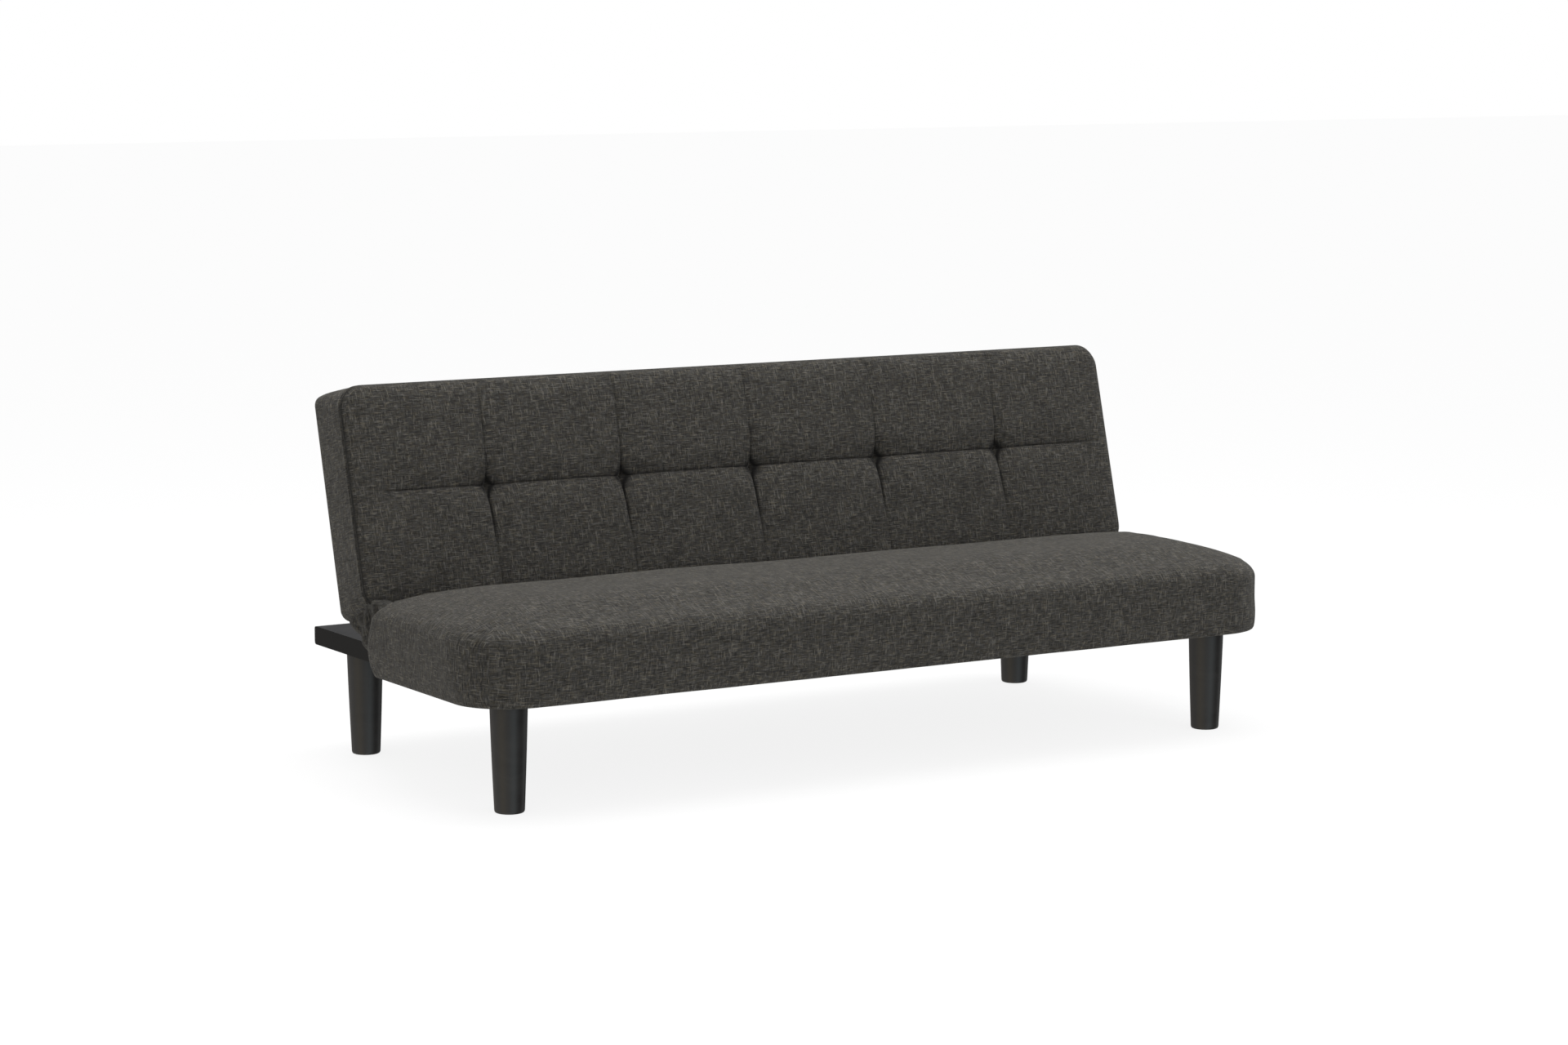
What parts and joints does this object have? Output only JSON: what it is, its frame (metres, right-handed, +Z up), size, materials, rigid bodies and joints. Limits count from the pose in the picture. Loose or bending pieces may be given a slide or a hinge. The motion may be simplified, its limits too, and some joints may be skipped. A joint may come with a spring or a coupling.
{
  "type": "futon sofa bed",
  "caption": "Click-clack futon sofa bed: upholstered bench seat on round tapered legs, with a tufted back that folds down flat onto a rear board.",
  "frame": {"origin": "on the floor, under the middle of the whole object's box with the back up", "axes": "+X along the sofa, to the sitter's left; -Y the front, where one sits down; +Z up"},
  "size_m": [1.68, 0.7997, 0.6812],
  "materials": {
    "seat_fabric": "dark charcoal heathered linen-look weave, matt",
    "back_fabric": "dark charcoal heathered linen-look weave, matt",
    "gap_fabric": "the same weave, crumpled",
    "black_cloth": "thin black non-woven cloth",
    "webbing": "woven elastic strap",
    "foam": "open-cell foam",
    "timber": "sawn softwood",
    "board_paint": "black satin paint",
    "leg_plastic": "black-brown moulded plastic, satin",
    "hinge_steel": "black powder coat",
    "zinc_steel": "zinc-plated steel"
  },
  "bodies": {
    "base": {"leg_front_left": "leg_plastic", "leg_front_right": "leg_plastic", "leg_rear_left": "leg_plastic", "leg_rear_right": "leg_plastic", "leg_stud_front_left": "zinc_steel", "leg_stud_front_right": "zinc_steel", "leg_stud_rear_left": "zinc_steel", "leg_stud_rear_right": "zinc_steel", "rear_board": "board_paint", "runner_left": "board_paint", "runner_right": "board_paint", "seat_front_rail": "timber", "seat_rear_rail": "timber", "seat_centre_rail": "timber", "seat_end_rail_left": "timber", "seat_end_rail_right": "timber", "seat_spring_1": "zinc_steel", "seat_spring_2": "zinc_steel", "seat_spring_3": "zinc_steel", "seat_spring_4": "zinc_steel", "seat_spring_5": "zinc_steel", "seat_spring_6": "zinc_steel", "seat_spring_7": "zinc_steel", "seat_spring_8": "zinc_steel", "seat_foam": "foam", "seat_cover": "seat_fabric", "seat_dust_cover": "black_cloth", "gap_cloth": "gap_fabric", "seat_hinge_arm_left": "hinge_steel", "hinge_ratchet_left": "hinge_steel", "hinge_pin_left": "zinc_steel", "seat_hinge_bolt_left_1": "zinc_steel", "seat_hinge_bolt_left_2": "zinc_steel", "seat_hinge_arm_right": "hinge_steel", "hinge_ratchet_right": "hinge_steel", "hinge_pin_right": "zinc_steel", "seat_hinge_bolt_right_1": "zinc_steel", "seat_hinge_bolt_right_2": "zinc_steel"},
    "back": {"back_bottom_rail": "timber", "back_top_rail": "timber", "back_centre_rail": "timber", "back_end_rail_left": "timber", "back_end_rail_right": "timber", "back_webbing_1": "webbing", "back_webbing_2": "webbing", "back_webbing_3": "webbing", "back_foam": "foam", "back_cover": "back_fabric", "back_rear_panel": "black_cloth", "back_hinge_arm_left": "hinge_steel", "back_hinge_bolt_left_1": "zinc_steel", "back_hinge_bolt_left_2": "zinc_steel", "pawl_spring_left": "zinc_steel", "back_hinge_arm_right": "hinge_steel", "back_hinge_bolt_right_1": "zinc_steel", "back_hinge_bolt_right_2": "zinc_steel", "pawl_spring_right": "zinc_steel"},
    "pawl_left": {"pawl_left": "zinc_steel"},
    "pawl_right": {"pawl_right": "zinc_steel"}
  },
  "joints": [
    {"name": "back_fold", "type": "hinge", "parent": "base", "child": "back", "pos_m": [0, 0.113, 0.313], "axis": [-1, 0, 0], "range_deg": [-8, 75], "deforming": ["gap_cloth"]},
    {"name": "pawl_left_click", "type": "hinge", "parent": "back", "child": "pawl_left", "pos_m": [-0.792, 0.13456, 0.35484], "axis": [1, 0, 0], "range_deg": [0, 10], "stiffness_Nm_per_rad": 0.05, "springref_deg": -28.65, "deforming": ["pawl_spring_left"]},
    {"name": "pawl_right_click", "type": "hinge", "parent": "back", "child": "pawl_right", "pos_m": [0.792, 0.13456, 0.35484], "axis": [1, 0, 0], "range_deg": [0, 10], "stiffness_Nm_per_rad": 0.05, "springref_deg": -28.65, "deforming": ["pawl_spring_right"]}
  ]
}
